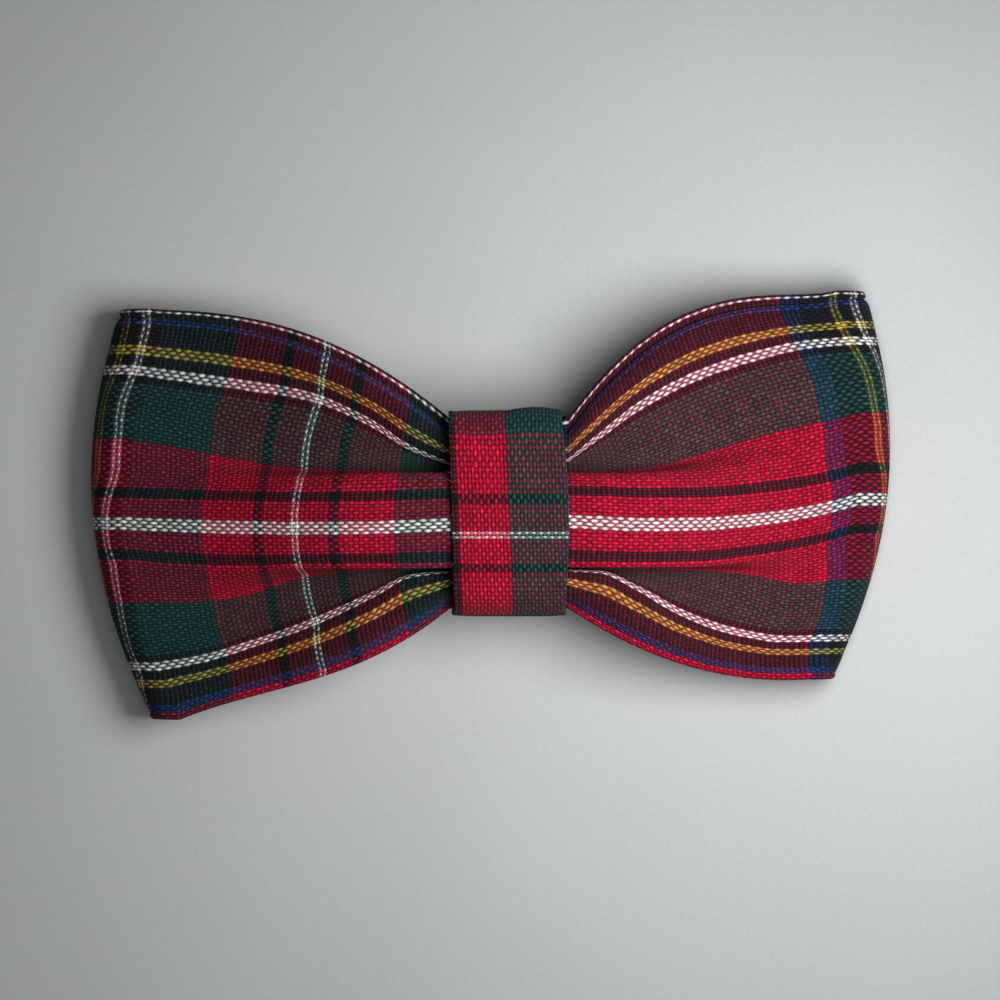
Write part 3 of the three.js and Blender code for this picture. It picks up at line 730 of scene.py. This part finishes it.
def make_loose_fibres():
    """Stray cotton hairs standing off the folds and edges."""
    chance = np.random.RandomState(7)
    points, faces = [], []

    def hair(root, way, length, radius):
        bend = chance.normal(0, 1, 3)
        side = np.cross(way, bend)
        side /= np.linalg.norm(side)
        other = np.cross(way, side)
        rings = []
        for k in range(HAIR_STEPS):
            s = k / (HAIR_STEPS - 1)
            core = root + way * length * s + bend * length * HAIR_BEND * s * s
            core[2] = max(core[2], LOWEST_HAIR)
            thin = radius * (1 - HAIR_TAPER * s)
            ring = []
            for corner in range(HAIR_SIDES):
                angle = 2 * math.pi * corner / HAIR_SIDES
                points.append(core + (side * math.cos(angle) + other * math.sin(angle)) * thin)
                ring.append(len(points) - 1)
            rings.append(ring)
        join_rings(faces, rings)

    # Hairs root on the face, on the rolled seam or on the hem, away from the waist.
    lip_end = FACE_POINTS + LIP_POINTS
    hem_start = lip_end + REVERSE_POINTS
    places = [p for p in loop_places(LINING_END_GAP) if 1.0 < p < 5.0 and not 2.9 < p < 3.1]
    for _ in range(BOW_HAIRS):
        place = places[chance.randint(len(places))]
        ring = tube_ring(place)
        edge = chance.rand()
        if edge < 0.3:
            at = chance.randint(0, FACE_POINTS)
        elif edge < 0.75:
            at = chance.randint(FACE_POINTS, lip_end)
        else:
            at = chance.randint(hem_start + 1, hem_start + len(HEM_ANGLES) - 1)
        root = ring[at]
        before, after = ring[at - 1], ring[(at + 1) % len(ring)]
        way = np.cross((1, 0, 0), after - before) * -1
        way = way / np.linalg.norm(way) + chance.normal(0, 0.6, 3)
        way /= np.linalg.norm(way)
        hair(root - way * 0.05, way, chance.uniform(0.35, 1.5), BOW_HAIR_RADIUS)
    outline = band_path(0)
    for _ in range(BAND_HAIRS):
        y, z = outline[chance.randint(len(outline))]
        left, right = band_sides(y / BAND_HALF_HEIGHT)
        if chance.rand() < 0.4:
            x = left + 0.2
        elif chance.rand() < 0.6:
            x = right - 0.2
        else:
            x = chance.uniform(left, right)
        outwards = np.array([x * 0.05, y / BAND_HALF_HEIGHT, 0.4 if z > 15 else -0.4])
        way = outwards + chance.normal(0, 0.5, 3)
        way /= np.linalg.norm(way)
        hair(np.array([x, y, z]) - way * 0.08, way, chance.uniform(0.3, 1.2), BAND_HAIR_RADIUS)
    return mesh_object("loose_fibres", points, faces)


# ---------------------------------------------------------------- finishes

class Wire:
    """A value in a finish, on which sums are written as in Python."""

    def __init__(self, finish, socket):
        self.finish, self.socket = finish, socket

    def output(self, name):
        """Another output of the same node."""
        return Wire(self.finish, self.socket.node.outputs[name])

    def math(self, operation, *others):
        return self.finish.node("ShaderNodeMath", {"operation": operation}, dict(enumerate((self, *others))))

    def __add__(self, other):
        return self.math("ADD", other)

    __radd__ = __add__

    def __sub__(self, other):
        return self.math("SUBTRACT", other)

    def __rsub__(self, other):
        return self.finish.node("ShaderNodeMath", {"operation": "SUBTRACT"}, {0: other, 1: self})

    def __mul__(self, other):
        return self.math("MULTIPLY", other)

    __rmul__ = __mul__

    def __truediv__(self, other):
        return self.math("DIVIDE", other)

    def __rtruediv__(self, other):
        return self.finish.node("ShaderNodeMath", {"operation": "DIVIDE"}, {0: other, 1: self})


class Finish:
    """A procedural material built round one principled shader."""

    def __init__(self, name, **constants):
        self.material = bpy.data.materials.new(name)
        self.material.use_nodes = True
        self.tree = self.material.node_tree
        self.shader = self.tree.nodes["Principled BSDF"]
        for socket, value in constants.items():
            self.shader.inputs[socket.replace("_", " ")].default_value = value

    def node(self, kind, settings=None, inputs=None, output=0):
        """A node with its settings made first, and then the values or links of its sockets."""
        node = self.tree.nodes.new(kind)
        for key, value in (settings or {}).items():
            if key == "stops":
                self.set_stops(node.color_ramp, value)
            elif key == "ramp":
                node.color_ramp.interpolation = value
            else:
                setattr(node, key, value)
        for key, value in (inputs or {}).items():
            if isinstance(value, Wire):
                self.tree.links.new(value.socket, node.inputs[key])
            else:
                node.inputs[key].default_value = value
        return Wire(self, node.outputs[output])

    @staticmethod
    def set_stops(ramp, stops):
        """Each stop is its place, its colour and its alpha."""
        while len(ramp.elements) < len(stops):
            ramp.elements.new(1.0)
        for element, (place, colour) in zip(ramp.elements, stops):
            element.position = place
            element.color = colour

    def uv(self, name):
        return self.node("ShaderNodeUVMap", {"uv_map": name})

    def place(self):
        """The piece's own Object coordinates."""
        return self.node("ShaderNodeTexCoord").output("Object")

    def blend(self, share, one, other, way="MIX"):
        settings = {"data_type": "RGBA", "blend_type": way}
        return self.node("ShaderNodeMix", settings, {0: share, 6: one, 7: other}, 2)

    def tint(self, colour, tone):
        return self.blend(1.0, colour, tone, "MULTIPLY")

    def noise(self, vector, scale, detail=2.0, rough=0.5):
        inputs = {"Vector": vector, "Scale": scale, "Detail": detail, "Roughness": rough}
        return self.node("ShaderNodeTexNoise", {}, inputs)

    def join(self, x, y, z=0.0):
        return self.node("ShaderNodeCombineXYZ", {}, {0: x, 1: y, 2: z})

    def link(self, wire, socket):
        self.tree.links.new(wire.socket, self.shader.inputs[socket])

    def bump(self, height, distance, strength=1.0):
        inputs = {"Strength": strength, "Distance": distance, "Height": height}
        self.link(self.node("ShaderNodeBump", {}, inputs), "Normal")

    def map_range(self, value, low, high, to_low=0.0, to_high=1.0):
        return self.node("ShaderNodeMapRange", {}, {0: value, 1: low, 2: high, 3: to_low, 4: to_high})


def sett_colour(finish, index, sett):
    """The dye of a thread from its number: the sett runs out to its last pivot and back again."""
    half = sum(count for _, count in sett)
    folded = index.math("PINGPONG", half) / half
    stops, start = [], 0
    for dye, count in sett:
        stops.append((start / half, (*DYES[dye], SHEER[dye])))
        start += count
    return finish.node("ShaderNodeValToRGB", {"ramp": "CONSTANT", "stops": stops}, {0: folded})


def thread_colour(finish, index, along, sett, seed):
    """A thread's dye, uneven from thread to thread and along each one, and how sheer it is."""
    dye = sett_colour(finish, index, sett)
    own = finish.node("ShaderNodeTexWhiteNoise", {"noise_dimensions": "1D"}, {"W": index + seed})
    drift = finish.noise(finish.join(index * 3.7, along * 0.30, seed), 1.0, 2.0)
    tone = finish.map_range(own, 0, 1, 0.86, 1.12) * finish.map_range(drift, 0.25, 0.75, 0.78, 1.2)
    return finish.tint(dye, tone), dye.output("Alpha")


# Heights over one crossing of the weave. Each yarn is a hump across its width, the narrower the larger
# its THIN is, and waves up and down along its length.
WARP_LEVEL = 1.35
WARP_THIN = 6.2
WARP_WAVE = 0.8
WEFT_LEVEL = 0.9
WEFT_THIN = 11.5
WEFT_WAVE = 0.5
CROSSING_EDGE = 0.15
# The hidden yarn's share of the colour wherever another covers it.
BLEED = 0.05
# The yarn heights over which the base colour goes from darkest to lightest, as painted shade in the weave's
# low places.
LOWEST_YARN = 0.15
HIGHEST_YARN = 2.0
WEAVE_RELIEF = 0.00014


def tartan(name):
    """A plain weave of dyed yarn. Each crossing shows whichever thread stands higher there, and the colour is
    darkened as painted shade where the yarns lie low.
    """
    finish = Finish(name, Roughness=0.9, Sheen_Weight=0.03, Sheen_Roughness=0.6, Specular_IOR_Level=0.12)
    cloth = finish.uv("cloth")
    waver = finish.noise(cloth, 0.35) - 0.5
    kink = finish.noise(cloth, 1.3) - 0.5
    counts = finish.node("ShaderNodeSeparateXYZ", {}, {0: cloth})
    u = counts + waver * 0.5 + kink * 0.35
    v = counts.output("Y") + waver * 0.4 + kink * 0.25
    row, pick = u.math("FLOOR"), v.math("FLOOR")
    cu, cv = u - row - 0.5, v - pick - 0.5
    side = 1 - 2 * (row + pick).math("FLOORED_MODULO", 2)
    warp_high = side * (cv * math.pi).math("COSINE") * WARP_WAVE + WARP_LEVEL - cu * cu * WARP_THIN
    weft_high = WEFT_LEVEL - cv * cv * WEFT_THIN - side * (cu * math.pi).math("COSINE") * WEFT_WAVE
    height = warp_high.math("MAXIMUM", weft_high)

    warp, warp_sheer = thread_colour(finish, row + 0.5, v, WARP_SETT, 11.0)
    weft, weft_sheer = thread_colour(finish, pick + 0.5, u, WEFT_SETT, 53.0)
    over = finish.map_range(warp_high - weft_high, -CROSSING_EDGE, CROSSING_EDGE)
    above = finish.blend(over, weft, warp)
    below = finish.blend(over, warp, weft)
    patchy = finish.map_range(finish.noise(cloth, 1.9, 2.0, 0.6), 0.3, 0.7, 0.7, 1.3)
    sheer = (over * warp_sheer + (1 - over) * weft_sheer) * patchy
    yarn = finish.blend(BLEED, finish.tint(above, finish.blend(sheer, (1, 1, 1, 1), below)), below)

    fibre = finish.noise(cloth, 3.2, 3.0, 0.7)
    crossing = finish.join(row, pick)
    knot = finish.node("ShaderNodeTexWhiteNoise", {"noise_dimensions": "2D"}, {"Vector": crossing})
    # Painted shade: the base colour is darkened where the yarns lie low, in place of the shade that falls in
    # the weave's crevices.
    depth = finish.map_range(height, LOWEST_YARN, HIGHEST_YARN)
    painted_crevice_shade = depth.math("POWER", 1.3) * 1.2 + 0.17
    uneven = finish.map_range(fibre, 0.3, 0.7, 0.7, 1.3) * (knot * 0.4 + 0.8)
    finish.link(finish.tint(yarn, painted_crevice_shade * uneven), "Base Color")
    finish.bump(height + 0.5 * fibre, WEAVE_RELIEF, 0.8)
    return finish.material


def flat_cotton(name, colour, fineness):
    """Undyed or one-colour cotton, with its fibres as a fine mottle."""
    finish = Finish(name, Roughness=0.8, Sheen_Weight=0.1)
    fibre = finish.noise(finish.place(), fineness, 3.0, 0.7)
    finish.link(finish.tint((*colour, 1), finish.map_range(fibre, 0.3, 0.7, 0.7, 1.2)), "Base Color")
    finish.bump(fibre, 0.00004)
    return finish.material


def plated_metal(name, colour, roughness):
    """Sheet metal brushed along its length, with a faint cloudy tarnish."""
    finish = Finish(name, Metallic=1.0)
    place = finish.place()
    streak = finish.node("ShaderNodeMapping", {}, {"Vector": place, "Scale": (30, 900, 900)})
    brushed = finish.noise(streak, 1.0, 4.0, 0.6)
    cloud = finish.map_range(finish.noise(place, 220.0, 4.0, 0.6), 0.45, 0.75)
    tarnish = [c * 0.8 for c in colour]
    finish.link(finish.blend(cloud, (*colour, 1), (*tarnish, 1)), "Base Color")
    finish.link(finish.map_range(brushed, 0.3, 0.7, roughness - 0.07, roughness + 0.1), "Roughness")
    finish.bump(brushed, 0.00001, 0.6)
    return finish.material


def paper():
    """Pale paper, slightly cloudy and specked, with a fine grain."""
    finish = Finish("pale_paper", Roughness=0.9)
    place = finish.place()
    grain = finish.noise(place, 700.0, 4.0, 0.6)
    cloud = finish.map_range(finish.noise(place, 18.0), 0.3, 0.7, 0.97, 1.03)
    speck = finish.map_range(finish.noise(place, 1400.0, 3.0, 0.7), 0.3, 0.7, 0.96, 1.04)
    finish.link(finish.tint((0.60, 0.61, 0.615, 1), cloud * speck), "Base Color")
    finish.bump(grain, 0.00005, 0.4)
    return finish.material


def dress(piece, material):
    piece.data.materials.clear()
    piece.data.materials.append(material)


# ---------------------------------------------------------------- camera, light and floor

LENS = 200
SENSOR = 36
VIEW_WIDTH = 0.1493
VIEW_MIDDLE = (0.0014, 0.00075, 0.010)


def add_camera():
    """Looks straight down, from so far off that nothing spreads towards the edges."""
    camera = bpy.data.objects.new("camera", bpy.data.cameras.new("camera"))
    bpy.context.scene.collection.objects.link(camera)
    bpy.context.scene.camera = camera
    camera.data.sensor_width = SENSOR
    camera.data.lens = LENS
    camera.location = (VIEW_MIDDLE[0], VIEW_MIDDLE[1], VIEW_MIDDLE[2] + VIEW_WIDTH * LENS / SENSOR)
    camera.data.clip_start = 0.01
    camera.data.clip_end = 10


def add_floor():
    bpy.ops.object.select_all(action="DESELECT")
    bpy.ops.mesh.primitive_plane_add(size=4)
    floor = bpy.context.object
    floor.name = "paper_floor"
    dress(floor, paper())


def add_lamp(name, place, size, power, colour):
    """A round soft lamp that points at the middle of the object."""
    light = bpy.data.lights.new(name, "AREA")
    light.shape = "DISK"
    light.size = size
    light.energy = power
    light.color = colour
    holder = bpy.data.objects.new(name, light)
    bpy.context.scene.collection.objects.link(holder)
    holder.location = place
    holder.rotation_euler = (-Vector(place)).to_track_quat("-Z", "Y").to_euler()


def add_room_light(colour, strength):
    world = bpy.data.worlds.new("room")
    bpy.context.scene.world = world
    world.use_nodes = True
    background = world.node_tree.nodes["Background"]
    background.inputs["Color"].default_value = (*colour, 1)
    background.inputs["Strength"].default_value = strength


add_camera()
add_floor()
add_lamp("window", place=(0.070, 0.000, 0.142), size=0.11, power=0.245, colour=(0.99, 1.0, 1.0))
add_lamp("ceiling", place=(0.05, -0.10, 0.70), size=0.5, power=0.55, colour=(0.96, 0.98, 1.0))
add_room_light((0.92, 0.95, 1.0), 0.075)
bpy.context.scene.view_settings.view_transform = "Standard"

# ---------------------------------------------------------------- cloth, linings and seam

cotton = tartan("tartan_cotton")
fleece = flat_cotton("white_interfacing", (0.75, 0.74, 0.70), 500.0)
stray_cotton = flat_cotton("loose_cotton", (0.42, 0.34, 0.34), 900.0)
red_thread = flat_cotton("red_thread", (0.30, 0.012, 0.03), 900.0)

bow = make_bow_cloth()
dress(bow, cotton)
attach(bow, "bow")
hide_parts("bow_cloth")

lining = make_interfacing()
dress(lining, fleece)
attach(lining, "bow")
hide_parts("bow_interfacing")

band = make_band_strip("tartan_band", 0.0, BAND_WALL, 0.0)
dress(band, cotton)
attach(band, "bow")
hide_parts("center_band")

band_lining = make_band_strip("band_lining", LINING_NEAR, LINING_FAR, LINING_NARROW)
dress(band_lining, fleece)
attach(band_lining, "bow")
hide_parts("band_interfacing")

fibres = make_loose_fibres()
dress(fibres, stray_cotton)
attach(fibres, "bow")

seam = make_seam_thread()
dress(seam, red_thread)
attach(seam, "bow")
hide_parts("tube_seam_thread")

# ---------------------------------------------------------------- clip and hand stitches

SAME_POINT = 0.000004
METAL_EDGE = 0.00008
METAL_EDGE_STEPS = 3
SHARP = math.radians(35)
SMOOTH_UNDER = math.radians(40)


def finer(node, name, material, bevel=0.0, rounds=0):
    """A merged copy that stands for a part, with its edges broken or its sections made rounder."""
    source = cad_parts[node]
    piece = bpy.data.objects.new(name, source.data.copy())
    piece.matrix_world = source.matrix_world
    bpy.context.scene.collection.objects.link(piece)
    bpy.ops.object.select_all(action="DESELECT")
    piece.select_set(True)
    bpy.context.view_layer.objects.active = piece
    bpy.ops.object.transform_apply(location=True, rotation=True, scale=True)
    bpy.ops.object.mode_set(mode="EDIT")
    bpy.ops.mesh.select_all(action="SELECT")
    bpy.ops.mesh.remove_doubles(threshold=SAME_POINT)
    bpy.ops.mesh.normals_make_consistent(inside=False)
    bpy.ops.object.mode_set(mode="OBJECT")
    if bevel:
        rounding = piece.modifiers.new("edges", "BEVEL")
        rounding.width = bevel
        rounding.segments = METAL_EDGE_STEPS
        rounding.limit_method = "ANGLE"
        rounding.angle_limit = SHARP
        rounding.harden_normals = False
        bpy.ops.object.modifier_apply(modifier=rounding.name)
    if rounds:
        smooth = piece.modifiers.new("round", "SUBSURF")
        smooth.levels = smooth.render_levels = rounds
        bpy.ops.object.modifier_apply(modifier=smooth.name)
    bpy.ops.object.shade_smooth_by_angle(angle=SMOOTH_UNDER)
    dress(piece, material)
    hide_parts(node)
    return piece


nickel = plated_metal("nickel_plate", (0.62, 0.61, 0.59), 0.28)
steel = plated_metal("spring_steel", (0.45, 0.46, 0.47), 0.35)

CLIP_PARTS = [
    ("clip_base", "clip_top_plate", "bow"),
    ("clip_jaw", "clip_lever", "jaw"),
    ("clip_pin", "clip_hinge_pin", "bow"),
]
for node, name, body in CLIP_PARTS:
    part = finer(node, name, nickel, bevel=METAL_EDGE)
    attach(part, body)

for node in ("waist_thread", "band_closing_thread", "clip_tack_thread_upper", "clip_tack_thread_lower"):
    stitch = finer(node, node + "_cord", red_thread, rounds=2)
    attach(stitch, "bow")

spring = finer("clip_spring", "clip_torsion_spring", steel, rounds=1)
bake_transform(spring)
